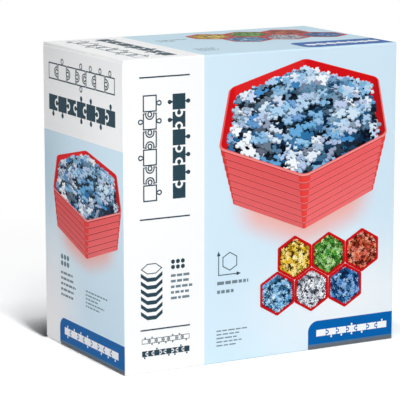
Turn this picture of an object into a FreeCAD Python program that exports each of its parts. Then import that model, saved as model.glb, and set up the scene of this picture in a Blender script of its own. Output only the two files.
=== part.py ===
"""Closed, glued retail carton of thin coated board.

The pack is shut and filled, so it is one solid whose outside is the folded sheet's: scored
folds, lapped end flaps with their raw edges, and the glued seam in a back corner.
Millimetres, +Z up. The front faces -Y, and the origin is the middle of the base.
"""

import FreeCAD, Part
import math
import os

Vector = FreeCAD.Vector

# The closed carton, outside
WIDTH = 250.0
DEPTH = 144.0
HEIGHT = 248.0

# The sheet
BOARD = 0.8
FOLD_RADIUS = 1.4

# Where the cut edges stop short of the faces next to them
OUTER_FLAP_SIDE_GAP = 0.4
OUTER_FLAP_BACK_GAP = 0.4
INNER_FLAP_SIDE_GAP = 0.9
SEAM_GAP = 0.4

# A fold runs on under the sheet that is glued over it, as far as this turn
COVERED_FOLD_DEG = 60.0


def fold_point(centre, degrees):
    """Point of a fold's outside, measured from the centre of the bend."""
    turn = math.radians(degrees)
    return (
        centre[0] + FOLD_RADIUS * math.cos(turn),
        centre[1] + FOLD_RADIUS * math.sin(turn),
    )


def fold(centre, start, end):
    """Arc of a fold between two turns, as start, middle and end points."""
    return [fold_point(centre, turn) for turn in (start, (start + end) / 2, end)]


def face_of(steps, place):
    """Flat face round an outline. A step is one corner, or an arc's three points."""
    edges = []
    last = place(*steps[-1][-1])
    for step in steps:
        points = [place(*point) for point in step]
        if not last.isEqual(points[0], 1e-7):
            edges.append(Part.LineSegment(last, points[0]).toShape())
        if len(points) == 3:
            edges.append(Part.Arc(*points).toShape())
        last = points[-1]
    return Part.Face(Part.Wire(edges))


def lapped_edge(across, along, gap):
    """Outline of a fold that turns in under a glued sheet, and of that sheet's raw edge.

    across is the face that folds, and along is the outside of the sheet over it.
    """
    under = along - BOARD
    centre = (across - FOLD_RADIUS, under - FOLD_RADIUS)
    bend = fold(centre, 0, COVERED_FOLD_DEG)
    return [
        bend,
        [(bend[-1][0], under)],
        [(across - gap, under)],
        [(across - gap, along)],
    ]


def plan():
    """Panels from above: three folds, and the back panel glued over a tab at +X."""
    side = WIDTH / 2
    wall = DEPTH / 2
    bend_x = side - FOLD_RADIUS
    bend_y = wall - FOLD_RADIUS
    steps = [fold((bend_x, -bend_y), -90, 0)]
    steps += lapped_edge(side, wall, SEAM_GAP)
    steps += [fold((-bend_x, bend_y), 90, 180), fold((-bend_x, -bend_y), 180, 270)]
    outline = face_of(steps, lambda x, y: Vector(x, y, 0))
    return outline.extrude(Vector(0, 0, HEIGHT))


def profile():
    """Carton from the side: at each end the outer flap folds from the front, and its
    raw edge lies over the inner flap's fold at the back."""
    wall = DEPTH / 2
    middle = HEIGHT / 2
    bend_y = wall - FOLD_RADIUS
    bend_z = middle - FOLD_RADIUS
    upper = lapped_edge(wall, middle, OUTER_FLAP_BACK_GAP)
    lower = [[(y, -z) for y, z in reversed(step)] for step in reversed(upper)]
    front = [fold((-bend_y, bend_z), 90, 180), fold((-bend_y, -bend_z), 180, 270)]
    outline = face_of(
        lower + upper + front, lambda y, z: Vector(-WIDTH, y, z + middle)
    )
    return outline.extrude(Vector(2 * WIDTH, 0, 0))


def above_dust_flap(inner, top):
    """Face over a dust flap's fold at +X, from the place inner out to past the side."""
    side = WIDTH / 2
    outside = side + BOARD
    floor = HEIGHT - 2 * BOARD
    centre = (side - FOLD_RADIUS, floor - FOLD_RADIUS)
    if inner < centre[0]:
        start = 90
        steps = [[(inner, top)], [(inner, floor)]]
    else:
        start = math.degrees(math.acos((inner - centre[0]) / FOLD_RADIUS))
        steps = [[(inner, top)]]
    steps += [fold(centre, start, 0), [(outside, centre[1])], [(outside, top)]]
    return face_of(steps, lambda x, z: Vector(x, 0, z))


def side_edge():
    """What is open at the top of the side at +X: past the outer flap's raw edge, and
    under that flap, where the inner flap is narrower. The front panel closes the gap."""
    side = WIDTH / 2
    outer_edge = side - OUTER_FLAP_SIDE_GAP
    inner_edge = side - INNER_FLAP_SIDE_GAP
    past = above_dust_flap(outer_edge, HEIGHT + BOARD).extrude(Vector(0, 2 * DEPTH, 0))
    past.translate(Vector(0, -DEPTH, 0))
    under = above_dust_flap(inner_edge, HEIGHT - BOARD).extrude(Vector(0, DEPTH, 0))
    under.translate(Vector(0, BOARD - DEPTH / 2, 0))
    return past.fuse(under)


def carton():
    """The folded and glued pack, as one solid."""
    right_top = side_edge()
    right = right_top.fuse(
        right_top.mirror(Vector(0, 0, HEIGHT / 2), Vector(0, 0, 1))
    )
    left = right.mirror(Vector(0, 0, 0), Vector(1, 0, 0))
    shell = plan().common(profile())
    return shell.cut([right, left]).removeSplitter()


def main():
    os.makedirs("parts", exist_ok=True)
    pack = carton()
    solid = pack.Solids[0]
    print("solids", len(pack.Solids), "valid", solid.isValid(), "volume", solid.Volume)
    print("box", solid.BoundBox, "faces", len(solid.Faces))
    solid.exportStep("parts/carton.step")


main()
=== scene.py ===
"""Closed retail carton of coated board: its finish, its print and a plain white studio."""

import math
import random

import bmesh
import bpy
import numpy as np
from mathutils import Matrix, Vector


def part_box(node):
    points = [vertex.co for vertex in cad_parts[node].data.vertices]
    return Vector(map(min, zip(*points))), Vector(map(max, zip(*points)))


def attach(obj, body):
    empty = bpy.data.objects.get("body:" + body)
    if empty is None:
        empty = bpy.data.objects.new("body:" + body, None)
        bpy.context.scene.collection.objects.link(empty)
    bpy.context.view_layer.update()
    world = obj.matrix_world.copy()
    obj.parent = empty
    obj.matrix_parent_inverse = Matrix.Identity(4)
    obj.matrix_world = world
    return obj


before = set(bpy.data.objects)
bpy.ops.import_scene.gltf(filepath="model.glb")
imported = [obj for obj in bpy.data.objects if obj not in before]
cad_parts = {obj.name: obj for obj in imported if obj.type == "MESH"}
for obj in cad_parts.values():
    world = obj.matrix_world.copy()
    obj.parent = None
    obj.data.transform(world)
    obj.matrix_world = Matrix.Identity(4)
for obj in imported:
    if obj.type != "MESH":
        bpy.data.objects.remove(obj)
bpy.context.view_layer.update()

# The camera stands to the left of the carton and a little above it, as in the photograph.
# Its long lens from far off keeps the upright edges nearly parallel.
CAMERA_PLACE = (-0.8772, -1.5548, 0.4528)
CAMERA_TURN_DEG = -28.92
CAMERA_DOWN_DEG = 10.65
LENS_MM = 198.2

camera = bpy.data.objects.new("camera", bpy.data.cameras.new("camera"))
bpy.context.scene.collection.objects.link(camera)
camera.data.lens = LENS_MM
camera.location = CAMERA_PLACE
camera.rotation_euler = (math.radians(90 - CAMERA_DOWN_DEG), 0, math.radians(CAMERA_TURN_DEG))
bpy.context.scene.camera = camera
bpy.context.scene.view_settings.view_transform = "Standard"

# The carton is one sheet of white coated board, printed, varnished, folded and glued.
# Its plain fields of colour run over the folds, so they belong to the board's own finish.
MM = 0.001
LOW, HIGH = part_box("carton")
WIDTH, DEPTH, HEIGHT = (HIGH - LOW) / MM
BOARD_WHITE = "FAFBFC"
PALE_BLUE = "D5ECFA"
PALE_BLUE_FAR = "D2E9F8"
# The top's pale field is painted a darker blue than the front's and side's: painted shade
TOP_PALE_BLUE_PAINTED_SHADE = "C8E4F2"
BANNER_BLUE = "0062AD"
# The side's and top's banners are printed in darker copies of the front's blue: painted shade
# against the sheen that pales them there
SIDE_BANNER_BLUE_PAINTED_SHADE = "0060A6"
TOP_BANNER_BLUE_PAINTED_SHADE = "0058A2"
BANNER_FOOT = "4E7696"
# Grey of ink and painted shade at the very foot of the banners
BANNER_FOOT_INK_AND_SHADE = "6E6E70"
# Bare board at the cut edges, painted a touch lighter than the coated face to offset the shade
# in its recess
CUT_EDGE_PAINTED_LIGHTER = "FEFEFD"
WHITE_BAND = 71.0
SIDE_TITLE_HEIGHT = 71.0
BANNER_HEIGHT = 24.0
BANNER_CORNER = 9.0
BANNER_FOOT_HEIGHT = 4.6
BANNER_FOOT_PLAIN = 1.6
FRONT_BANNER_LEFT = 167.5
SIDE_BANNER_LEFT = 27.0
TOP_BANNER_BACK = 37.0
TOP_BANNER_FRONT = 3.0
# Soft patches in the board's colour: the first pales the front's lower right, the second
# is painted light that whitens the side's lower back end a touch past the board's own
# white, and the third is painted shade at the side's upper back. Middle, reach each way,
# colour and strength
SOFT_PATCHES_AND_PAINTED_SHADING = [
    ((0.84 * WIDTH, 0, 0.15 * HEIGHT), (140, 14, 84), "F3F8FA", 0.88),
    ((0, 0.96 * DEPTH, 0.08 * HEIGHT), (14, 85, 125), "FDFCFE", 1.0),
    ((0, DEPTH, 0.6 * HEIGHT), (14, 60, 70), "BFD8E8", 0.7),
]
# The pictured trays' red, mirrored under their lower edges: the middle and height of the
# lowest corner, the edges' slope, half their width, how far it falls, and strength
FRONT_MIRRORED = (162.8, 101.0, 0.4, 66.0, 27.0, 0.85)
SIDE_MIRRORED = (78.8, 82.0, 0.32, 54.0, 20.0, 0.8)
MIRRORED_RED = "F4AEA2"
MIRRORED_ROUND = 10.0
# Where it sets in above the edges, and how far about their ends it fades
MIRRORED_START = (-14.0, -3.0)
MIRRORED_ENDS = (-24.0, 8.0)
CUT_EDGE_DEPTH = 0.25
SQUARELY = 0.98
FOLD_WEAR_REACH = 0.9
FOLD_WEAR = 0.3
FOLD_CRACKS = {"Scale": 0.9, "Detail": 6.0, "Roughness": 0.75}
PAPER_GRAIN = {"Scale": 1 / 0.35, "Detail": 3.0, "Roughness": 0.6}
GRAIN_BUMP = {"Strength": 0.25, "Distance": 0.02 * MM}
PANEL_WAVE = {"Scale": 1 / 45.0, "Detail": 1.0}
WAVE_BUMP = {"Strength": 0.35, "Distance": 0.4 * MM}
VARNISH_IOR = 1.47
VARNISH_SHEEN = 0.04
VARNISH_ROUGH = (0.36, 0.5)


def ink(code):
    """Linear colour of an sRGB hex value."""
    parts = [int(code[i : i + 2], 16) / 255 for i in (0, 2, 4)]
    return (*(p / 12.92 if p <= 0.04045 else ((p + 0.055) / 1.055) ** 2.4 for p in parts), 1)


def add(tree, kind, inputs=(), **settings):
    """Adds a node to a tree with its settings, and sets or links its inputs. A node that is
    given as an input stands for its first output in use."""
    node = tree.nodes.new(kind)
    for name, value in settings.items():
        setattr(node, name, value)
    for socket, value in inputs.items() if isinstance(inputs, dict) else enumerate(inputs):
        if isinstance(value, bpy.types.Node):
            value = next(output for output in value.outputs if output.enabled)
        if isinstance(value, bpy.types.NodeSocket):
            tree.links.new(value, node.inputs[socket])
        else:
            node.inputs[socket].default_value = value
    return node


def new_material(name):
    """Empty material, its tree and its output node."""
    material = bpy.data.materials.new(name)
    material.use_nodes = True
    material.node_tree.nodes.clear()
    tree = material.node_tree
    return material, tree, add(tree, "ShaderNodeOutputMaterial")


def in_millimetres(tree, start=(0, 0, 0)):
    """Place on the object, in millimetres from a start in the frame."""
    place = add(tree, "ShaderNodeTexCoord").outputs["Object"]
    offset = add(tree, "ShaderNodeVectorMath", (place, tuple(start)), operation="SUBTRACT")
    return add(tree, "ShaderNodeVectorMath", (offset, (1 / MM,) * 3), operation="MULTIPLY")


def rounded_field(tree, across, along, low, high, corner):
    """1 inside a field with rounded corners, measured in millimetres."""
    middle = [(a + b) / 2 for a, b in zip(low, high)]
    inner = [(b - a) / 2 - corner for a, b in zip(low, high)]
    place = add(tree, "ShaderNodeCombineXYZ", (across, along, 0.0))
    offset = add(tree, "ShaderNodeVectorMath", (place, (*middle, 0)), operation="SUBTRACT")
    folded = add(tree, "ShaderNodeVectorMath", (offset,), operation="ABSOLUTE")
    past = add(tree, "ShaderNodeVectorMath", (folded, (*inner, 0)), operation="SUBTRACT")
    outside = add(tree, "ShaderNodeVectorMath", (past, (0, 0, 0)), operation="MAXIMUM")
    reach = add(tree, "ShaderNodeVectorMath", (outside,), operation="LENGTH")
    return add(tree, "ShaderNodeMath", (reach, corner), operation="LESS_THAN")


def varnish(tree, output, colour, millimetres):
    """Satin water-based varnish on coated board: the paper's faint grain under an even,
    half-matt skin, and panels that aren't dead flat, which breaks up the reflections."""
    grain = add(tree, "ShaderNodeTexNoise", {"Vector": millimetres, **PAPER_GRAIN})
    wave = add(tree, "ShaderNodeTexNoise", {"Vector": millimetres, **PANEL_WAVE})
    wide = add(tree, "ShaderNodeBump", {"Height": wave, **WAVE_BUMP})
    fine = add(tree, "ShaderNodeBump", {"Height": grain, "Normal": wide, **GRAIN_BUMP})
    least, most = VARNISH_ROUGH
    rough = add(tree, "ShaderNodeMapRange", {"Value": grain, "To Min": least, "To Max": most})
    shader = add(
        tree,
        "ShaderNodeBsdfPrincipled",
        {
            "Base Color": colour,
            "Roughness": rough,
            "Normal": fine,
            "IOR": VARNISH_IOR,
            "Specular IOR Level": VARNISH_SHEEN,
        },
    )
    tree.links.new(shader.outputs[0], output.inputs["Surface"])


def printed_board():
    """White clay-coated board, offset printed and varnished, with painted shade and light in
    places. Its cut edges are bare board, painted a touch lighter to offset their shade.
    """
    material, tree, output = new_material("satin_varnished_coated_board")
    place = in_millimetres(tree, LOW)
    x, y, z = add(tree, "ShaderNodeSeparateXYZ", (place,)).outputs
    # How deep a point lies below the nearer panel of each pair
    deep = []
    for along, size in ((x, WIDTH), (y, DEPTH), (z, HEIGHT)):
        rest = add(tree, "ShaderNodeMath", (size, along), operation="SUBTRACT")
        deep.append(add(tree, "ShaderNodeMath", (along, rest), operation="MINIMUM"))
    in_x, in_y, in_z = deep
    other = add(tree, "ShaderNodeMath", (in_y, in_z), operation="MINIMUM")
    side = add(tree, "ShaderNodeMath", (in_x, other), operation="LESS_THAN")
    other = add(tree, "ShaderNodeMath", (in_x, in_y), operation="MINIMUM")
    end = add(tree, "ShaderNodeMath", (in_z, other), operation="LESS_THAN")
    either = add(tree, "ShaderNodeMath", (side, end), operation="ADD")
    broad = add(tree, "ShaderNodeMath", (1.0, either), operation="SUBTRACT", use_clamp=True)
    in_front = add(tree, "ShaderNodeMath", (y, DEPTH / 2), operation="LESS_THAN")
    at_left = add(tree, "ShaderNodeMath", (x, WIDTH / 2), operation="LESS_THAN")
    above = add(tree, "ShaderNodeMath", (z, HEIGHT / 2), operation="GREATER_THAN")
    front = add(tree, "ShaderNodeMath", (broad, in_front), operation="MULTIPLY")
    left = add(tree, "ShaderNodeMath", (side, at_left), operation="MULTIPLY")
    top = add(tree, "ShaderNodeMath", (end, above), operation="MULTIPLY")
    # The pale field lies right of the white band, and below the title field on the sides
    back = add(tree, "ShaderNodeMath", (broad, front), operation="SUBTRACT")
    mirrored = add(tree, "ShaderNodeMath", (WIDTH, x), operation="SUBTRACT")
    # A mix goes by socket numbers: 0 for the share, 2 and 3 for values, 6 and 7 for colours
    across = add(tree, "ShaderNodeMix", {0: back, 2: x, 3: mirrored}, data_type="FLOAT")
    beside = add(tree, "ShaderNodeMath", (across, WHITE_BAND), operation="GREATER_THAN")
    title_foot = HEIGHT - SIDE_TITLE_HEIGHT
    below = add(tree, "ShaderNodeMath", (z, title_foot), operation="LESS_THAN")
    pale = add(tree, "ShaderNodeMix", {0: side, 2: beside, 3: below}, data_type="FLOAT")
    share = add(tree, "ShaderNodeMath", (x, WIDTH), operation="DIVIDE", use_clamp=True)
    inks = {0: share, 6: ink(PALE_BLUE), 7: ink(PALE_BLUE_FAR)}
    blue = add(tree, "ShaderNodeMix", inks, data_type="RGBA")
    # On the top the pale blue is a darker copy: painted shade
    inks = {0: top, 6: blue, 7: ink(TOP_PALE_BLUE_PAINTED_SHADE)}
    blue = add(tree, "ShaderNodeMix", inks, data_type="RGBA")
    # Each patch eases the colour towards its own, painted light and shade among them
    for middle, reach, tint, strength in SOFT_PATCHES_AND_PAINTED_SHADING:
        offset = add(tree, "ShaderNodeVectorMath", (place, middle), operation="SUBTRACT")
        scaled = add(tree, "ShaderNodeVectorMath", (offset, reach), operation="DIVIDE")
        away = add(tree, "ShaderNodeVectorMath", (scaled,), operation="LENGTH")
        fading = (away, 0.0, 1.0, strength, 0.0)
        patch = add(tree, "ShaderNodeMapRange", fading, interpolation_type="SMOOTHSTEP")
        blue = add(tree, "ShaderNodeMix", {0: patch, 6: blue, 7: ink(tint)}, data_type="RGBA")
    from_back = add(tree, "ShaderNodeMath", (DEPTH, y), operation="SUBTRACT")
    for panel, along, (middle, lowest, slope, half, fall, strength) in (
        (front, x, FRONT_MIRRORED),
        (left, from_back, SIDE_MIRRORED),
    ):
        aside = add(tree, "ShaderNodeMath", (along, middle), operation="SUBTRACT")
        round_off = MIRRORED_ROUND**2
        aside = add(tree, "ShaderNodeMath", (aside, aside, round_off), operation="MULTIPLY_ADD")
        aside = add(tree, "ShaderNodeMath", (aside,), operation="SQRT")
        edge = add(tree, "ShaderNodeMath", (aside, slope, lowest), operation="MULTIPLY_ADD")
        below = add(tree, "ShaderNodeMath", (edge, z), operation="SUBTRACT")
        near, past = MIRRORED_ENDS
        red = panel
        for fading in (
            (below, 0.0, fall, strength, 0.0),
            (below, *MIRRORED_START, 0.0, 1.0),
            (aside, half + near, half + past, 1.0, 0.0),
        ):
            fade = add(tree, "ShaderNodeMapRange", fading, interpolation_type="SMOOTHSTEP")
            red = add(tree, "ShaderNodeMath", (red, fade), operation="MULTIPLY")
        inks = {0: red, 6: blue, 7: ink(MIRRORED_RED)}
        blue = add(tree, "ShaderNodeMix", inks, data_type="RGBA")
    inks = {0: pale, 6: ink(BOARD_WHITE), 7: blue}
    colour = add(tree, "ShaderNodeMix", inks, data_type="RGBA")
    # A cut edge faces squarely out, but lies deeper than the panel beside it
    facing = add(tree, "ShaderNodeNewGeometry").outputs["True Normal"]
    turned = add(tree, "ShaderNodeVectorMath", (facing,), operation="ABSOLUTE")
    facing_x, facing_y, _ = add(tree, "ShaderNodeSeparateXYZ", (turned,)).outputs
    cut = None
    for square, depth in ((facing_x, in_x), (facing_y, in_y)):
        flat = add(tree, "ShaderNodeMath", (square, SQUARELY), operation="GREATER_THAN")
        inset = add(tree, "ShaderNodeMath", (depth, CUT_EDGE_DEPTH), operation="GREATER_THAN")
        both = add(tree, "ShaderNodeMath", (flat, inset), operation="MULTIPLY")
        if cut:
            both = add(tree, "ShaderNodeMath", (cut, both), operation="MAXIMUM")
        cut = both
    # Its colour is painted lighter than bare board, to offset the shade in the recess
    inks = {0: cut, 6: colour, 7: ink(CUT_EDGE_PAINTED_LIGHTER)}
    colour = add(tree, "ShaderNodeMix", inks, data_type="RGBA")
    # The banners run out over the carton's edges, so only one corner of each is seen. Where
    # they reach the lower fold, a greyer foot runs round it and over the edge of the flap, and
    # painted shade darkens it to grey towards the bottom edge.
    foot = add(tree, "ShaderNodeMath", (z, BANNER_FOOT_HEIGHT), operation="LESS_THAN")
    up = add(
        tree,
        "ShaderNodeMapRange",
        {"Value": z, "From Min": BANNER_FOOT_PLAIN, "From Max": BANNER_FOOT_HEIGHT},
    )
    inks = {0: up, 6: ink(BANNER_FOOT_INK_AND_SHADE), 7: ink(BANNER_FOOT)}
    foot_ink_and_shade = add(tree, "ShaderNodeMix", inks, data_type="RGBA")
    beyond = BANNER_CORNER
    front_low = (FRONT_BANNER_LEFT, -beyond)
    front_high = (WIDTH + beyond, BANNER_HEIGHT)
    side_low = (-beyond, -beyond)
    side_high = (DEPTH - SIDE_BANNER_LEFT, BANNER_HEIGHT)
    top_low = (FRONT_BANNER_LEFT, TOP_BANNER_FRONT)
    top_high = (WIDTH + beyond, TOP_BANNER_BACK)
    for panel, across, along, low, high, code in (
        (front, x, z, front_low, front_high, BANNER_BLUE),
        # The side's and top's banner blues are darker copies of the front's: painted shade
        (left, y, z, side_low, side_high, SIDE_BANNER_BLUE_PAINTED_SHADE),
        (top, x, y, top_low, top_high, TOP_BANNER_BLUE_PAINTED_SHADE),
    ):
        field = rounded_field(tree, across, along, low, high, BANNER_CORNER)
        field = add(tree, "ShaderNodeMath", (field, panel), operation="MULTIPLY")
        inks = {0: foot, 6: ink(code), 7: foot_ink_and_shade}
        body = add(tree, "ShaderNodeMix", inks, data_type="RGBA")
        inks = {0: field, 6: colour, 7: body}
        colour = add(tree, "ShaderNodeMix", inks, data_type="RGBA")
    # Ink cracks a little where the board is folded, and shows the white coating
    folds = []
    for one, two in ((in_x, in_y), (in_y, in_z), (in_x, in_z)):
        folds.append(add(tree, "ShaderNodeMath", (one, two), operation="MAXIMUM"))
    nearest = add(tree, "ShaderNodeMath", (folds[0], folds[1]), operation="MINIMUM")
    nearest = add(tree, "ShaderNodeMath", (nearest, folds[2]), operation="MINIMUM")
    cracks = add(tree, "ShaderNodeTexNoise", {"Vector": place, **FOLD_CRACKS})
    wear = add(
        tree,
        "ShaderNodeMapRange",
        {"Value": nearest, "From Max": FOLD_WEAR_REACH, "To Min": FOLD_WEAR, "To Max": 0.0},
    )
    wear = add(tree, "ShaderNodeMath", (wear, cracks), operation="MULTIPLY")
    inks = {0: wear, 6: colour, 7: ink(BOARD_WHITE)}
    colour = add(tree, "ShaderNodeMix", inks, data_type="RGBA")
    varnish(tree, output, colour, place)
    return material


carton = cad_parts["carton"]
if not carton.material_slots:
    carton.data.materials.append(None)
for slot in carton.material_slots:
    slot.material = printed_board()

# The rules, small lines and marks are line work in slate ink, on the white coating.
# Each is a film of ink with a closed outline. The small lines are plain bars, and marks of
# a hexagonal tray, a stack and a count of six say what the pack holds.
SLATE = "2A4450"
SLATE_THIN = "4A6270"
GREY_SLATE = "6F828C"
GREY_SLATE_THIN = "93A3AC"
INK_SUNK = -0.02
INK_PROUD = 0.05
INK_MOTTLE = {"Scale": 1 / 1.2, "Detail": 4.0, "Roughness": 0.7}
INK_THIN = {"From Min": 0.45, "From Max": 0.75, "To Max": 0.3}
RULE_THICK = 1.15
RULE_LEFT = 14.0
RULE_RIGHT = 58.0
RULE_HEIGHTS = (233.7, 123.0, 35.0)
LINE_THICK = 0.75
SHARPEST = 0.5
# Marks: left and low, then the count's reach, the stack's width, pitch and layers, and the
# size mark's width
FRONT_COUNT = (41.0, 81.2, 1.9)
SIDE_COUNT = (30.0, 67.4, 2.4)
COUNT_PITCH = 2.3
STACK_MARK = (14.5, 43.0, 19.0, 6.1, 6)
STACK_LEAN = 0.22
STACK_CORNERS = (0.3, 0.7)
BAND_SHARE = 0.52
SIZE_MARK = (83.5, 71.5, 16.0)
SIZED_TRAY = (0.66, 0.68, 0.48)
ARROW_HALF = 0.1
ARROW_LENGTH = 2.4
# Blocks of small print: left, highest line, pitch, thickness, and each line's length
FRONT_BLOCKS = [
    (41.0, 75.3, 4.5, 2.0, (16.5, 17.0, 19.0, 16.0, 16.5)),
    (82.5, 64.0, 7.0, 2.6, (28.5, 15.0)),
    (82.0, 26.0, 3.0, 1.0, (28.0, 22.0, 18.5, 23.0, 19.0)),
]
SIDE_BLOCKS = [
    (30.0, 61.0, 4.6, 1.9, (22.0, 23.0, 27.5, 24.0, 22.5)),
    (76.0, 54.5, 3.1, 1.1, (40.0, 26.0, 23.0, 33.0, 25.0)),
]
TOP_BLOCKS = [
    (82.0, 101.0, 7.0, 2.6, (28.5, 15.0)),
    (82.0, 39.0, 3.6, 1.1, (20.0, 17.0, 20.0, 15.0, 18.0)),
]
WORD_LENGTHS = (2.4, 6.5)
WORD_GAP = 1.1
SHORTEST_WORD = 0.8 * WORD_GAP
WORD_SEED = 11


def panel(corner, across, up):
    """Places millimetres across, up and out of a panel in the frame."""
    across = Vector(across)
    up = Vector(up)
    turn = Matrix((across, up, across.cross(up))).transposed().to_4x4()
    return Matrix.Translation(corner) @ turn @ Matrix.Scale(MM, 4)


FRONT = panel((LOW.x, LOW.y, LOW.z), (1, 0, 0), (0, 0, 1))
SIDE = panel((LOW.x, HIGH.y, LOW.z), (0, -1, 0), (0, 0, 1))
TOP = panel((LOW.x, LOW.y, HIGH.z), (1, 0, 0), (0, 1, 0))


def shrink(outline, distance):
    """Outline moved inwards by a distance."""
    moved = []
    for before, here, after in zip(
        outline[-1:] + outline[:-1], outline, outline[1:] + outline[:1]
    ):
        arriving = (here - before).normalized()
        leaving = (after - here).normalized()
        inward = Vector((-arriving.y - leaving.y, arriving.x + leaving.x)).normalized()
        slant = inward.dot(Vector((-arriving.y, arriving.x)))
        moved.append(here + inward * distance / max(slant, SHARPEST))
    return moved


def slab(bm, outline, low=INK_SUNK, high=INK_PROUD):
    """Closed plate between two heights. Its outline runs counter-clockwise."""
    top = [bm.verts.new((*point, high)) for point in outline]
    bottom = [bm.verts.new((*point, low)) for point in outline]
    bm.faces.new(top)
    bm.faces.new(bottom[::-1])
    for here in range(len(outline)):
        bm.faces.new((top[here - 1], bottom[here - 1], bottom[here], top[here]))


def ring(bm, outline, stroke):
    """Closed line of ink along the inside of an outline."""
    loops = []
    for loop in (outline, shrink(outline, stroke)):
        for height in (INK_SUNK, INK_PROUD):
            loops.append([bm.verts.new((*point, height)) for point in loop])
    outer_low, outer_high, inner_low, inner_high = loops
    for one, two in (
        (outer_low, outer_high),
        (outer_high, inner_high),
        (inner_high, inner_low),
        (inner_low, outer_low),
    ):
        for here in range(len(outline)):
            bm.faces.new((one[here - 1], one[here], two[here], two[here - 1]))


def box_outline(left, low, width, height):
    """Rectangle, counter-clockwise from its lower left corner."""
    right = left + width
    high = low + height
    return [Vector(point) for point in ((left, low), (right, low), (right, high), (left, high))]


def line_ink(name, code, thin_code):
    """Solid line ink, laid down a little unevenly, under the same varnish."""
    material, tree, output = new_material(name)
    place = in_millimetres(tree)
    mottle = add(tree, "ShaderNodeTexNoise", {"Vector": place, **INK_MOTTLE})
    thin = add(tree, "ShaderNodeMapRange", {"Value": mottle, **INK_THIN})
    inks = {0: thin, 6: ink(code), 7: ink(thin_code)}
    colour = add(tree, "ShaderNodeMix", inks, data_type="RGBA")
    varnish(tree, output, colour, place)
    return material


def as_mesh(name, bm):
    """Turns a bmesh into a mesh and frees it."""
    mesh = bpy.data.meshes.new(name)
    bm.to_mesh(mesh)
    bm.free()
    return mesh


def printed(name, mesh, place, material):
    """Puts a print's mesh on its panel and gives it its ink."""
    mesh.name = name
    mesh.transform(place)
    mesh.materials.clear()
    mesh.materials.append(material)
    piece = bpy.data.objects.new(name, mesh)
    bpy.context.scene.collection.objects.link(piece)
    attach(piece, "root")
    return piece


def hexagon(middle, reach):
    """Hexagon with a corner at the top, counter-clockwise."""
    turns = [math.radians(90 + 60 * step) for step in range(6)]
    return [Vector(middle) + reach * Vector((math.cos(a), math.sin(a))) for a in turns]


def small_print(bm, blocks, draw):
    """Lines of plain bars, as long as words."""
    for left, highest, pitch, thick, lengths in blocks:
        for row, length in enumerate(lengths):
            low = highest - row * pitch
            start = left
            while start < left + length - SHORTEST_WORD:
                word = min(draw.uniform(*WORD_LENGTHS), left + length - start)
                slab(bm, box_outline(start, low, word, thick))
                start += word + WORD_GAP


def six_count(bm, left, low, reach):
    """Two rows of three small hexagons, for the count of six."""
    pitch = COUNT_PITCH * reach
    for row in range(2):
        for column in range(3):
            middle = (left + reach + column * pitch, low + reach + row * pitch)
            slab(bm, hexagon(middle, reach))


def stack_mark(bm, left, low, width, pitch, layers):
    """Open hexagonal tray on a stack of bold bands."""
    lean = STACK_LEAN * width
    near_left, near_right = (left + share * width for share in STACK_CORNERS)
    for layer in range(layers + 1):
        foot = low + layer * pitch
        front = [(left, foot + lean), (near_left, foot), (near_right, foot)]
        front = [Vector(point) for point in (*front, (left + width, foot + lean))]
        if layer < layers:
            rise = Vector((0, BAND_SHARE * pitch))
            slab(bm, front + [point + rise for point in reversed(front)])
    far = [Vector((x, foot + 2 * lean)) for x in (near_right, near_left)]
    ring(bm, front + far, LINE_THICK)


def size_mark(bm, left, low, width):
    """Outline of a tray beside the two arrows that measure it."""
    across, up, reach = (share * width for share in SIZED_TRAY)
    ring(bm, hexagon((left + across, low + up), reach), LINE_THICK)
    slab(bm, box_outline(left, low, LINE_THICK, width))
    slab(bm, box_outline(left + LINE_THICK, low, width, LINE_THICK))
    half = ARROW_HALF * width
    tip = ARROW_LENGTH * half
    middle = left + LINE_THICK / 2
    end = low + width
    slab(bm, [(middle + half, end), (middle, end + tip), (middle - half, end)])
    middle = low + LINE_THICK / 2
    end = left + LINE_THICK + width
    slab(bm, [(end, middle - half), (end + tip, middle), (end, middle + half)])


slate_ink = line_ink("slate_line_ink", SLATE, SLATE_THIN)
grey_ink = line_ink("grey_line_ink", GREY_SLATE, GREY_SLATE_THIN)

draw = random.Random(WORD_SEED)
bm = bmesh.new()
for height in RULE_HEIGHTS:
    low = height - RULE_THICK / 2
    slab(bm, box_outline(RULE_LEFT, low, RULE_RIGHT - RULE_LEFT, RULE_THICK))
six_count(bm, *FRONT_COUNT)
stack_mark(bm, *STACK_MARK)
size_mark(bm, *SIZE_MARK)
printed("front_line_work", as_mesh("front_line_work", bm), FRONT, slate_ink)

for name, blocks, place in (
    ("front_small_print", FRONT_BLOCKS, FRONT),
    ("side_small_print", SIDE_BLOCKS, SIDE),
    ("top_small_print", TOP_BLOCKS, TOP),
):
    bm = bmesh.new()
    small_print(bm, blocks, draw)
    if place is SIDE:
        six_count(bm, *SIDE_COUNT)
    printed(name, as_mesh(name, bm), place, grey_ink)

# Rows of interlocked jigsaw pieces are printed in pairs, a fine one in outline beside a bold
# one in solid slate: up the white band and over the top, across the side, and small ones at
# the foot of the front. White rows fill the banners.
WHITE_INK = "F7F9FA"
WHITE_THIN = "E3EAEE"
KNOB_REACH = 0.2
KNOB_NECK_DEG = 48.0
APART = {"Separate Children": True, "Reset Children": True}
TITLE_KNOB_STEPS = 16
FINE_STROKE = 1.05
FINE_GAP = 0.8
THIN_STROKE = 0.45
THIN_GAP = 0.4
# Gaps between the pieces of a solid row
ROW_GAPS = {"bold": 1.7, "white": 0.9, "small": 0.62}
TITLE_BODY = 12.9
SIDE_TITLE_BODY = 14.4
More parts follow.
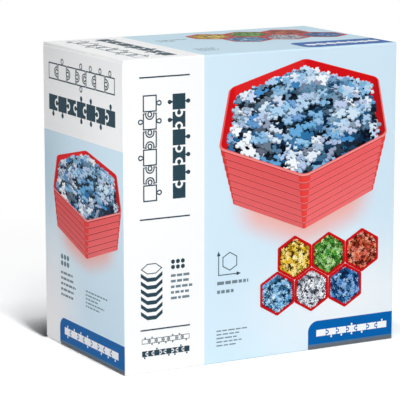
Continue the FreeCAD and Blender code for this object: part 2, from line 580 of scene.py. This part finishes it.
# Rows: panel, start, direction, count, pitch and body height
TITLE_ROWS = {
    "front_fine_row": (FRONT, (23.0, 136.5), "up", 6, 14.0, TITLE_BODY, "fine"),
    "front_bold_row": (FRONT, (48.5, 136.5), "up", 6, 14.0, TITLE_BODY, "bold"),
    "side_fine_row": (SIDE, (11.0, 226.2), "right", 7, 17.1, SIDE_TITLE_BODY, "fine"),
    "side_bold_row": (SIDE, (10.5, 200.6), "right", 7, 17.3, SIDE_TITLE_BODY, "bold"),
    "top_fine_row": (TOP, (23.0, 12.0), "up", 7, 17.5, TITLE_BODY, "fine"),
    "top_bold_row": (TOP, (48.5, 12.0), "up", 7, 17.5, TITLE_BODY, "bold"),
    "front_low_fine_row": (FRONT, (15.0, 26.0), "right", 7, 6.1, 4.4, "thin"),
    "front_low_bold_row": (FRONT, (15.0, 16.0), "right", 8, 5.35, 5.2, "small"),
    "front_banner_row": (FRONT, (175.0, 13.6), "right", 7, 9.9, 6.4, "white"),
    "side_banner_row": (SIDE, (35.5, 13.6), "right", 8, 12.3, 6.9, "white"),
    "top_banner_row": (TOP, (175.0, 20.0), "right", 7, 9.9, 8.0, "white"),
}


def jigsaw(width, height, knobs, steps):
    """Outline of a jigsaw piece about its middle. Knobs are 1 outwards, -1 inwards or 0, for
    the lower, right, upper and left side."""
    outline = []
    knob_size = KNOB_REACH * min(width, height)
    sides = (
        (Vector((0, -height / 2)), Vector((1, 0)), width),
        (Vector((width / 2, 0)), Vector((0, 1)), height),
        (Vector((0, height / 2)), Vector((-1, 0)), width),
        (Vector((-width / 2, 0)), Vector((0, -1)), height),
    )
    for (middle, along, length), knob in zip(sides, knobs):
        out = Vector((along.y, -along.x))
        outline.append(middle - along * length / 2)
        for step in range(steps + 1 if knob else 0):
            sweep = 360 - 2 * KNOB_NECK_DEG
            turn = math.radians(270 - KNOB_NECK_DEG - sweep * step / steps)
            lift = knob * knob_size * (math.cos(math.radians(KNOB_NECK_DEG)) + math.sin(turn))
            outline.append(middle + along * knob_size * math.cos(turn) + out * lift)
    return outline


def new_growth(name, inputs):
    """Empty Geometry Nodes tree with named inputs, and its input node's sockets."""
    tree = bpy.data.node_groups.new(name, "GeometryNodeTree")
    for label, kind in {"Geometry": "Geometry", **inputs}.items():
        tree.interface.new_socket(label, in_out="INPUT", socket_type="NodeSocket" + kind)
    tree.interface.new_socket("Geometry", in_out="OUTPUT", socket_type="NodeSocketGeometry")
    return tree, add(tree, "NodeGroupInput").outputs


def grown(tree, base, values):
    """Plain mesh that a tree grows from a base mesh and its named values."""
    carrier = bpy.data.objects.new("carrier", base)
    bpy.context.scene.collection.objects.link(carrier)
    modifier = carrier.modifiers.new("growth", "NODES")
    modifier.node_group = tree
    for socket in tree.interface.items_tree:
        if socket.in_out == "INPUT" and socket.name in values:
            modifier[socket.identifier] = values[socket.name]
    bpy.context.view_layer.update()
    evaluated = carrier.evaluated_get(bpy.context.evaluated_depsgraph_get())
    mesh = bpy.data.meshes.new_from_object(evaluated)
    bpy.data.objects.remove(carrier)
    return mesh


def kit(name, shapes):
    """Loose shapes for a tree to pick from, in the order of their names."""
    collection = bpy.data.collections.new(name)
    for index, bm in enumerate(shapes):
        mesh = as_mesh(f"{name}_{index:02d}", bm)
        collection.objects.link(bpy.data.objects.new(mesh.name, mesh))
    return collection


def title_row():
    inputs = {"Pieces": "Collection", "Count": "Int", "Pitch": "Float", "Ink": "Material"}
    tree, given = new_growth("title_row", inputs)
    pitch = add(tree, "ShaderNodeCombineXYZ", (given["Pitch"], 0.0, 0.0))
    half = add(tree, "ShaderNodeVectorMath", (pitch, (0.5, 0.5, 0.5)), operation="MULTIPLY")
    line = add(
        tree,
        "GeometryNodeMeshLine",
        {"Count": given["Count"], "Start Location": half, "Offset": pitch},
        mode="OFFSET",
    )
    pieces = add(tree, "GeometryNodeCollectionInfo", {"Collection": given["Pieces"], **APART})
    order = add(tree, "GeometryNodeInputIndex")
    placed = add(
        tree,
        "GeometryNodeInstanceOnPoints",
        {"Points": line, "Instance": pieces, "Pick Instance": True, "Instance Index": order},
    )
    solid = add(tree, "GeometryNodeRealizeInstances", (placed,))
    inked = add(tree, "GeometryNodeSetMaterial", {"Geometry": solid, "Material": given["Ink"]})
    add(tree, "NodeGroupOutput", (inked,))
    return tree


def row_pieces(count, pitch, body, style, draw):
    """One shape for each place in a row, each knob facing its neighbour's socket."""
    shapes = []
    linked = 0
    for index in range(count):
        onward = 0 if index == count - 1 else draw.choice((-1, 1))
        knobs = (draw.choice((0, 1)), onward, draw.choice((0, 1)), -linked)
        linked = onward
        outline = jigsaw(pitch, body, knobs, TITLE_KNOB_STEPS)
        bm = bmesh.new()
        if style == "fine":
            ring(bm, shrink(outline, FINE_GAP / 2), FINE_STROKE)
        elif style == "thin":
            ring(bm, shrink(outline, THIN_GAP / 2), THIN_STROKE)
        else:
            slab(bm, shrink(outline, ROW_GAPS[style] / 2))
        shapes.append(bm)
    return shapes


white_ink = line_ink("white_line_ink", WHITE_INK, WHITE_THIN)
row_tree = title_row()
for name, (place, start, way, count, pitch, body, style) in TITLE_ROWS.items():
    paper = white_ink if style == "white" else slate_ink
    values = {
        "Pieces": kit(name + "_kit", row_pieces(count, pitch, body, style, draw)),
        "Count": count,
        "Pitch": pitch,
        "Ink": paper,
    }
    mesh = grown(row_tree, bpy.data.meshes.new("row_start"), values)
    turn = Matrix.Rotation(math.radians(90 if way == "up" else 0), 4, "Z")
    spot = place @ Matrix.Translation((*start, 0)) @ turn
    printed(name, mesh, spot, paper)

# The large picture is a stack of plain red hexagonal trays, heaped with blue jigsaw pieces,
# printed once on the front and once, smaller, on the side. It is modelled in the round and
# then pressed flat on the panel, nearest parts on top, as thin as a film of varnish.
RELIEF = 0.2
TRAY_REACH = 93.0
TRAY_CORNER = 11.0
CORNER_STEPS = 7
TRAY_LEVEL = 8.1
TRAY_WALL = 1.8
# A tray's rib stands proud up to one share of its level, and has run out at another
RIB_PROUD = 0.9
RIB_TOP_PROUD = 0.8
RIB_TOP = 0.68
RIB_END = 0.84
LIP_FROM = 0.85
LIP_ROUND = 1.0
INSIDE_LEAN = 3.0
# Faces that look down more than this show a seam. Less lean than a hair doesn't count.
SEAM_DOWN = 0.3
HAIR = 0.01
TRAY_TAPER = 1.0
TRAY_DEPTH = 19.0
HEAP_INSET = 11.3
HEAP_BELOW_RIM = 11.5
HEAP_RISE = 24.0
HEAP_RINGS = 8
GAPS_PAST_HEAP = 2
BIT_SIZE = 10.6
BIT_THICK = 1.6
BIT_WIDTHS = (0.9, 1.08)
BIT_KINDS = 8
BIT_KNOB_STEPS = 6
BIT_SPACING = 5.6
BIT_TILT_DEG = 17.0
BIT_LIFT = 5.0
BURIED_SHARE = 0.74
BURIED_FALL = 2.6
PALE_ON_TOP = 0.4
TONE_SPREAD = (0.14, 0.93)
HEAP_SEED = 4
CHANCE_SEEDS = {"turn": 3, "kind": 5, "lift": 8, "tone": 13}
VIEW_DISTANCE = 620.0
PRESSED_REACH = 1.6 * TRAY_REACH
PICTURE_LIGHT = Vector((0.2, -0.5, 0.82)).normalized()
TRAY_LIGHT = (0.26, 0.46)
BIT_LIGHT = (0.0, 0.72)
NO_LIGHT = (0.0, 0.0)
# The light in which an ink shows its own colour
PLAIN_LIGHT = 0.5
TRAY_INKS = ("EC443F", "EE6063", "F37D7F", "A8242A", "C4141C", "DE0E16")
# Tones of the outer wall, what the foot and each lip add, and those of a round corner,
# which shows a purer red and paler seams
WALL_TONE = 0.2
FOOT_TONE = 0.1
LIP_TONE = 0.05
SEAM_TONE = 0.6
CORNER_TONE = 0.0
CORNER_LIP_TONE = 0.3
CORNER_SEAM_TONE = 0.5
INSIDE_LIGHT = 0.9
TRAY_SHADE = "8A0D14"
TRAY_SHINE = "FDBDB6"
BLUE_INKS = (
    "1D5FA8", "2C7CC2", "3C92D2", "5090CC", "6AB0E0", "8CB8E0", "84C2EA", "A8CCEC", "BBC8EA",
    "BADCF4", "DCEAF9", "F4F8FE",
)
BLUE_SHADE = "030612"
BLUE_SHINE = "F2FAFF"


def hexagon_loop(reach, corner, offset):
    """Hexagon with round corners, a corner to the front and back, grown by an offset."""
    across = math.cos(math.radians(30))
    reach = reach + offset / across
    corner = corner + offset
    loop = []
    for side in range(6):
        turn = math.radians(-90 + 60 * side)
        middle = (reach - corner / across) * Vector((math.cos(turn), math.sin(turn)))
        for step in range(CORNER_STEPS + 1):
            swing = turn + math.radians(-30 + 60 * step / CORNER_STEPS)
            loop.append(middle + corner * Vector((math.cos(swing), math.sin(swing))))
    return loop


def swept(bm, loops):
    """Closed skin through a row of level loops. The first faces down, and so on round."""
    rings = [[bm.verts.new(point) for point in loop] for loop in loops]
    for low, high in zip(rings, rings[1:]):
        for here in range(len(low)):
            bm.faces.new((low[here - 1], low[here], high[here], high[here - 1]))
    bm.faces.new(rings[0][::-1])
    bm.faces.new(rings[-1])


def tray_stack(reach, corner, levels, wall, outer_tone):
    """Stack of open trays: each stands in the rim of the next with a dark seam between, and
    the top one shows its inside. Its outer wall gets one tone, or is shaded where that is
    None."""
    profile = []
    for level in range(levels):
        inset = -TRAY_TAPER * (levels - 1 - level)
        foot = level * TRAY_LEVEL
        profile += [
            (inset - RIB_PROUD, foot),
            (inset - RIB_TOP_PROUD * RIB_PROUD, foot + RIB_TOP * TRAY_LEVEL),
            (inset, foot + RIB_END * TRAY_LEVEL),
            (inset, foot + TRAY_LEVEL),
        ]
    rim = levels * TRAY_LEVEL
    profile[-1] = (0, rim - LIP_ROUND)
    profile += [(-LIP_ROUND, rim), (-wall, rim), (-wall - INSIDE_LEAN, rim - TRAY_DEPTH)]
    loops = []
    for offset, height in profile:
        edge = hexagon_loop(reach, corner, offset)
        loops.append([(point.x, point.y, height) for point in edge])
    bm = bmesh.new()
    swept(bm, loops)
    tone = bm.faces.layers.float.new("tone")
    clear = bm.faces.layers.float.new("clear")
    for face in bm.faces:
        face.normal_update()
        middle = face.calc_center_median()
        outward = face.normal.x * middle.x + face.normal.y * middle.y
        face[clear] = INSIDE_LIGHT if outward < -HAIR else 1.0
        at_corner = max(edge.calc_length() for edge in face.edges) < corner
        if face.normal.z < -SEAM_DOWN:
            face[tone] = CORNER_SEAM_TONE if at_corner else SEAM_TONE
        elif outward > HAIR and middle.z < rim - HAIR:
            lip = middle.z % TRAY_LEVEL > LIP_FROM * TRAY_LEVEL
            if outer_tone is not None:
                face[tone] = outer_tone
            elif at_corner:
                face[tone] = CORNER_LIP_TONE if lip else CORNER_TONE
            else:
                low = FOOT_TONE * (1 - middle.z / rim)
                face[tone] = WALL_TONE + low + (LIP_TONE if lip else 0)
        else:
            face[tone] = 1.0
    return bm


def heap_ground(reach, corner, rim, rise):
    """Closed dome that the jigsaw pieces lie on."""
    loops = []
    for step in range(HEAP_RINGS):
        share = 1 - step / HEAP_RINGS
        height = rim + rise * (1 - share**2)
        edge = hexagon_loop(reach * share, corner * share, 0)
        loops.append([(point.x, point.y, height) for point in edge])
    bm = bmesh.new()
    swept(bm, loops)
    return bm


def bits(name, size, thick, steps, kinds, draw):
    """Kit of loose jigsaw pieces with different knobs."""
    shapes = []
    for _ in range(kinds):
        knobs = [draw.choice((-1, 1)) for _ in range(4)]
        width = size * draw.uniform(*BIT_WIDTHS)
        bm = bmesh.new()
        slab(bm, jigsaw(width, size, knobs, steps), 0, thick)
        shapes.append(bm)
    return kit(name, shapes)


def heap():
    """The paler ones tend to lie on top, and those that lie deeper get less light."""
    tree, given = new_growth(
        "heap",
        {
            "Pieces": "Collection",
            "Spacing": "Float",
            "Density": "Float",
            "Tilt": "Float",
            "Lift": "Float",
            "Seed": "Int",
            "Ink": "Material",
        },
    )
    facing = add(tree, "GeometryNodeInputNormal")
    upright = add(tree, "ShaderNodeSeparateXYZ", (facing,)).outputs["Z"]
    upper = add(tree, "ShaderNodeMath", (upright, 0.0), operation="GREATER_THAN")
    points = add(
        tree,
        "GeometryNodeDistributePointsOnFaces",
        {
            "Mesh": given["Geometry"],
            "Selection": upper,
            "Distance Min": given["Spacing"],
            "Density Max": given["Density"],
            "Seed": given["Seed"],
        },
        distribute_method="POISSON",
    )
    pieces = add(tree, "GeometryNodeCollectionInfo", {"Collection": given["Pieces"], **APART})
    back = add(tree, "ShaderNodeMath", (given["Tilt"], -1.0), operation="MULTIPLY")
    least = add(tree, "ShaderNodeCombineXYZ", (back, back, 0.0))
    most = add(tree, "ShaderNodeCombineXYZ", (given["Tilt"], given["Tilt"], math.tau))
    turns = {"Min": least, "Max": most, "Seed": CHANCE_SEEDS["turn"]}
    turn = add(tree, "FunctionNodeRandomValue", turns, data_type="FLOAT_VECTOR")
    # Whole numbers have sockets 4 and 5.
    kinds = {4: 0, 5: 1000, "Seed": CHANCE_SEEDS["kind"]}
    kind = add(tree, "FunctionNodeRandomValue", kinds, data_type="INT")
    placed = add(
        tree,
        "GeometryNodeInstanceOnPoints",
        {
            "Points": points,
            "Instance": pieces,
            "Pick Instance": True,
            "Instance Index": kind,
            "Rotation": turn,
        },
    )
    seed = {"Seed": CHANCE_SEEDS["lift"]}
    raised = add(tree, "FunctionNodeRandomValue", seed, data_type="FLOAT")
    rise = add(tree, "ShaderNodeMath", (raised, given["Lift"]), operation="MULTIPLY")
    upward = add(tree, "ShaderNodeCombineXYZ", (0.0, 0.0, rise))
    lifted = add(
        tree,
        "GeometryNodeTranslateInstances",
        {"Instances": placed, "Translation": upward, "Local Space": False},
    )
    seed = {"Seed": CHANCE_SEEDS["tone"]}
    chance = add(tree, "FunctionNodeRandomValue", seed, data_type="FLOAT")
    chance = add(tree, "ShaderNodeMath", (chance, 1 - PALE_ON_TOP), operation="MULTIPLY")
    parts = (raised, PALE_ON_TOP, chance)
    tone = add(tree, "ShaderNodeMath", parts, operation="MULTIPLY_ADD")
    least, most = TONE_SPREAD
    tone = add(tree, "ShaderNodeMapRange", {"Value": tone, "From Min": least, "From Max": most})
    clear = add(tree, "ShaderNodeMapRange", {"Value": raised, "From Max": BURIED_SHARE})
    clear = add(tree, "ShaderNodeMath", (clear, BURIED_FALL), operation="POWER")
    kept = lifted
    for label, value in (("tone", tone), ("clear", clear)):
        kept = add(
            tree,
            "GeometryNodeStoreNamedAttribute",
            {"Geometry": kept, "Name": label, "Value": value},
            data_type="FLOAT",
            domain="INSTANCE",
        )
    solid = add(tree, "GeometryNodeRealizeInstances", (kept,))
    clear = add(tree, "GeometryNodeInputNamedAttribute", {"Name": "clear"}, data_type="FLOAT")
    solid = add(
        tree,
        "GeometryNodeStoreNamedAttribute",
        {"Geometry": solid, "Name": "clear", "Value": clear},
        data_type="FLOAT",
        domain="FACE",
    )
    inked = add(tree, "GeometryNodeSetMaterial", {"Geometry": solid, "Material": given["Ink"]})
    add(tree, "NodeGroupOutput", (inked,))
    return tree


def process_ink(name, inks, shade, shine):
    """Process inks in one pass under varnish: a print's tone picks its ink, and its light
    takes that ink towards the shade or the shine."""
    material, tree, output = new_material(name)
    tone = add(tree, "ShaderNodeAttribute", attribute_name="tone").outputs["Fac"]
    light = add(tree, "ShaderNodeAttribute", attribute_name="light").outputs["Fac"]
    ramp = add(tree, "ShaderNodeValToRGB", (tone,))
    stops = ramp.color_ramp.elements
    stops.remove(stops[1])
    stops[0].color = ink(inks[0])
    for index, code in enumerate(inks[1:], 1):
        stops.new(index / (len(inks) - 1)).color = ink(code)
    plain = add(tree, "ShaderNodeMapRange", {"Value": light, "From Max": PLAIN_LIGHT})
    bright = add(tree, "ShaderNodeMapRange", {"Value": light, "From Min": PLAIN_LIGHT})
    inks = {0: plain, 6: ink(shade), 7: ramp}
    colour = add(tree, "ShaderNodeMix", inks, data_type="RGBA")
    inks = {0: bright, 6: colour, 7: ink(shine)}
    colour = add(tree, "ShaderNodeMix", inks, data_type="RGBA")
    varnish(tree, output, colour, in_millimetres(tree))
    return material


def pressed(mesh, middle, rise_deg, scale, reach, light):
    """Presses a model flat, as seen from a height angle, and keeps how the light fell on it."""
    count = len(mesh.vertices)
    spots = np.empty(count * 3, np.float32)
    mesh.vertices.foreach_get("co", spots)
    x, y, z = spots.reshape(-1, 3).T
    normals = np.empty(len(mesh.polygons) * 3, np.float32)
    mesh.polygons.foreach_get("normal", normals)
    fall = normals.reshape(-1, 3) @ np.array(PICTURE_LIGHT)
    least, gain = light
    level = least + gain * np.maximum(fall, 0)
    # What lies deep in a heap, or inside a tray's wall, gets less light
    if "clear" in mesh.attributes:
        clear = np.empty(len(mesh.polygons), np.float32)
        mesh.attributes["clear"].data.foreach_get("value", clear)
        level *= clear
    lit = mesh.attributes.new("light", "FLOAT", "FACE")
    lit.data.foreach_set("value", np.clip(level, 0, 1))
    rise = math.radians(rise_deg)
    depth = y * math.cos(rise) - z * math.sin(rise)
    nearness = scale * VIEW_DISTANCE / (VIEW_DISTANCE + depth)
    across = middle[0] + x * nearness
    along = middle[1] + (z * math.cos(rise) + y * math.sin(rise)) * nearness
    out = INK_SUNK + RELIEF * (0.5 - depth / (2 * reach))
    mesh.vertices.foreach_set("co", np.stack((across, along, out), 1).ravel())
    mesh.update()
    return mesh


red_print = process_ink("red_process_ink", TRAY_INKS, TRAY_SHADE, TRAY_SHINE)
blue_print = process_ink("blue_process_ink", BLUE_INKS, BLUE_SHADE, BLUE_SHINE)
heap_tree = heap()
# Where the rim's middle stands on each panel, the height angle, the scale and the levels
LARGE_PICTURES = {
    "front_tray": (FRONT, (162.8, 195.8), 38.2, 0.862, 8),
    "side_tray": (SIDE, (78.8, 143.8), 29.1, 0.689, 6),
}


def tray_picture(name, panel_place, middle, rise_deg, scale, tray, kit_values, heap_print):
    """Prints a filled tray: its stack, the dark between its jigsaw pieces, and the pieces."""
    levels, wall, outer_tone, light, bit_light = tray
    rim = levels * TRAY_LEVEL
    foot = (middle[0], middle[1] - rim * math.cos(math.radians(rise_deg)) * scale)
    view = (foot, rise_deg, scale, PRESSED_REACH)
    stack = as_mesh(name, tray_stack(TRAY_REACH, TRAY_CORNER, levels, wall, outer_tone))
    pressed(stack, *view, light)
    printed(name + "_stack", stack, panel_place, red_print)
    inner = TRAY_REACH - wall - HEAP_INSET
    below = rim - HEAP_BELOW_RIM
    ground = as_mesh(name, heap_ground(inner, TRAY_CORNER, below, HEAP_RISE))
    pile = grown(heap_tree, ground, {**kit_values, "Ink": heap_print})
    pressed(pile, *view, bit_light)
    printed(name + "_pieces", pile, panel_place, heap_print)
    dark = as_mesh(name, heap_ground(inner + GAPS_PAST_HEAP, TRAY_CORNER, below, HEAP_RISE))
    pressed(dark, *view, NO_LIGHT)
    printed(name + "_gaps", dark, panel_place, heap_print)


large_bits = {
    "Pieces": bits("large_bits", BIT_SIZE, BIT_THICK, BIT_KNOB_STEPS, BIT_KINDS, draw),
    "Spacing": BIT_SPACING,
    "Density": 1.0,
    "Tilt": math.radians(BIT_TILT_DEG),
    "Lift": BIT_LIFT,
    "Seed": HEAP_SEED,
}
for name, (place, middle, rise_deg, scale, levels) in LARGE_PICTURES.items():
    tray = (levels, TRAY_WALL, None, TRAY_LIGHT, BIT_LIGHT)
    tray_picture(name, place, middle, rise_deg, scale, tray, large_bits, blue_print)

# Six small trays of the same kind stand in a honeycomb on the front and on the top, seen
# from above. Each holds jigsaw pieces of one colour family.
SMALL_RISE_DEG = 88.0
SMALL_WALL = 8.5
SMALL_OUTER_TONE = 0.7
SMALL_GAP = 0.9
SMALL_BIT_SIZE = 15.0
SMALL_BIT_KINDS = 6
SMALL_BIT_KNOB_STEPS = 3
SMALL_BIT_SPACING = 7.8
FAMILIES = {
    "yellow": (("D08A10", "E8B400", "F4C81E", "F8DE52", "FFF0A0"), "3A2606", "FFFDE8"),
    "green": (("1F6E2A", "3E9A2E", "58AE3A", "7DC242", "B8DE82"), "06240C", "F0FBE4"),
    "red": (("A62C1A", "CC3C1E", "DC5230", "E87448", "F4A880"), "2E0806", "FCE6DA"),
    "light_blue": (("2A72B0", "4E9FD8", "62B2E6", "86C6EE", "C8E6F8"), "061A34", "F4FBFF"),
    "white": (("9AA6BA", "B8C0D0", "D0D6E2", "EEF2F8", "FFFFFF"), "1E2436", "FFFFFF"),
    "deep_blue": (("124A8C", "1E6CB8", "2A7CC8", "4A96D6", "8CC0E8"), "04122C", "E6F4FF"),
}
# Panel, where the upper row's first tray and the lower row stand, the lower row's step to
# the side in pitches, scale, and the light on the trays and on their pieces
SMALL_GROUPS = {
    "front": (FRONT, (154.2, 51.2), -0.5, 0.194, (0.1, 0.33), BIT_LIGHT),
    # The top's trays and pieces get less light than the front's: painted shade against the
    # sheen that pales the top
    "top": (TOP, (136.6, 77.6), 0.5, 0.22, (0.06, 0.24), (0.0, 0.43)),
}

small_kit = bits(
    "small_bits", SMALL_BIT_SIZE, BIT_THICK, SMALL_BIT_KNOB_STEPS, SMALL_BIT_KINDS, draw
)
small_bits = {**large_bits, "Pieces": small_kit, "Spacing": SMALL_BIT_SPACING}
for number, (family, (inks, shade, shine)) in enumerate(FAMILIES.items()):
    family_print = process_ink(family + "_process_ink", inks, shade, shine)
    row, column = divmod(number, 3)
    for side, (place, (left, low), step, scale, *lights) in SMALL_GROUPS.items():
        pitch = 2 * TRAY_REACH * math.cos(math.radians(30)) * scale + SMALL_GAP
        middle = (
            left + pitch * (column + step * row),
            low + pitch * math.cos(math.radians(30)) * (1 - row),
        )
        values = {**small_bits, "Seed": number}
        tray = (2, SMALL_WALL, SMALL_OUTER_TONE, *lights)
        name = f"{side}_{family}_tray"
        tray_picture(name, place, middle, SMALL_RISE_DEG, scale, tray, values, family_print)

# The studio is a white floor under an even white sky. A low broad lamp lights the front, and
# a narrow one hangs above the left side's edge, so the shadow falls straight back from there.
# A small lamp lifts the near end of the shaded side. Painted contact shade darkens the
# floor's colour behind the pack.
FLOOR_SIZE = 8.0
FLOOR_WHITE = (0.93, 0.93, 0.93, 1)
# Seen directly, the floor is this many times white, less its shadow
FLOOR_SEEN = 1.5
# Painted contact shade in the floor's colour behind the carton: a deep one close to it and a
# faint wide one, each with its reach and depth. It ends at the left side, ever more softly,
# and towards the right.
CONTACT_SHADES = ((0.075, 5.8), (0.32, 1.22))
CONTACT_EDGE = 0.004
CONTACT_SOFTER = 2.4
CONTACT_FADE = 0.16
SHADOW_REACH = 0.28
WHITE_FROM = 0.6
SKY_LIGHT = 0.3
# Softboxes: place, size, watts, target and spread
LAMPS = {
    "front": ((0.3, -2.3, 0.5), (0.8, 0.5), 17.2, (0, 0, 0.12), 180),
    "above": ((-0.14, -0.42, 1.95), (0.12, 0.9), 16.2, (-0.14, -0.05, 0), 180),
    "near_side": ((-0.5, -0.2, 0.29), (0.08, 0.1), 0.14, (-0.125, -0.06, 0.16), 80),
}


def lamp(name, place, size, watts, target, spread_deg):
    """Rectangular softbox that faces its target."""
    light = bpy.data.objects.new(name, bpy.data.lights.new(name, "AREA"))
    light.data.shape = "RECTANGLE"
    light.data.size, light.data.size_y = size
    light.data.energy = watts
    light.data.spread = math.radians(spread_deg)
    light.location = place
    aim = Vector(target) - Vector(place)
    light.rotation_euler = aim.to_track_quat("-Z", "Y").to_euler()
    bpy.context.scene.collection.objects.link(light)


def seen_directly(tree):
    """1 for rays from the camera, in a reflection or through glass, which see plain white."""
    rays = add(tree, "ShaderNodeLightPath").outputs
    pair = (rays["Is Camera Ray"], rays["Is Glossy Ray"])
    seen = add(tree, "ShaderNodeMath", pair, operation="MAXIMUM")
    pair = (seen, rays["Is Transmission Ray"])
    return add(tree, "ShaderNodeMath", pair, operation="MAXIMUM")


floor_mesh = bpy.data.meshes.new("floor")
reach = FLOOR_SIZE / 2
corners = [(-reach, -reach, 0), (reach, -reach, 0), (reach, reach, 0), (-reach, reach, 0)]
floor_mesh.from_pydata(corners, [], [(0, 1, 2, 3)])
floor = bpy.data.objects.new("floor", floor_mesh)
bpy.context.scene.collection.objects.link(floor)
floor_material, tree, output = new_material("matt_white_floor")
seen = seen_directly(tree)
place = add(tree, "ShaderNodeTexCoord").outputs["Object"]
closed = 1.0
for distance, depth in CONTACT_SHADES:
    opening = add(tree, "ShaderNodeAmbientOcclusion", {"Distance": distance}).outputs["AO"]
    opening = add(tree, "ShaderNodeMath", (opening, depth), operation="POWER")
    closed = add(tree, "ShaderNodeMath", (opening, closed), operation="MULTIPLY")
across, far_side, _ = add(tree, "ShaderNodeSeparateXYZ", (place,)).outputs
past = add(tree, "ShaderNodeMath", (far_side, HIGH.y), operation="SUBTRACT", use_clamp=True)
soft = add(tree, "ShaderNodeMath", (past, past), operation="MULTIPLY")
soft = add(tree, "ShaderNodeMath", (soft, CONTACT_SOFTER, LOW.x), operation="MULTIPLY_ADD")
behind = 1.0
for along, start, end in (
    (across, LOW.x - CONTACT_EDGE, soft),
    (far_side, HIGH.y - CONTACT_EDGE, HIGH.y + CONTACT_EDGE),
    (across, HIGH.x, HIGH.x - CONTACT_FADE),
):
    past = add(tree, "ShaderNodeMapRange", {"Value": along, "From Min": start, "From Max": end})
    behind = add(tree, "ShaderNodeMath", (behind, past), operation="MULTIPLY")
contact = add(tree, "ShaderNodeMix", {0: behind, 2: 1.0, 3: closed}, data_type="FLOAT")
contact = add(tree, "ShaderNodeMath", (contact, FLOOR_SEEN), operation="MULTIPLY")
shade = add(tree, "ShaderNodeMix", {0: seen, 6: FLOOR_WHITE, 7: contact}, data_type="RGBA")
near = add(tree, "ShaderNodeBsdfDiffuse", {"Color": shade})
away = add(tree, "ShaderNodeVectorMath", (place,), operation="LENGTH")
far = add(
    tree,
    "ShaderNodeMapRange",
    {"Value": away, "From Min": SHADOW_REACH, "From Max": WHITE_FROM},
    interpolation_type="SMOOTHSTEP",
)
far = add(tree, "ShaderNodeMath", (far, seen), operation="MULTIPLY")
backdrop = add(tree, "ShaderNodeEmission", {"Strength": 1.0})
mixed = add(tree, "ShaderNodeMixShader", (far, near, backdrop))
tree.links.new(mixed.outputs[0], output.inputs["Surface"])
floor.data.materials.append(floor_material)

world = bpy.data.worlds.new("white_sky")
bpy.context.scene.world = world
world.use_nodes = True
tree = world.node_tree
tree.nodes.clear()
strength = add(
    tree,
    "ShaderNodeMapRange",
    {"Value": seen_directly(tree), "To Min": SKY_LIGHT, "To Max": 1.0},
)
sky = add(tree, "ShaderNodeBackground", {"Strength": strength})
sky.inputs["Color"].default_value = (1, 1, 1, 1)
add(tree, "ShaderNodeOutputWorld", (sky,))
for name, settings in LAMPS.items():
    lamp(name, *settings)
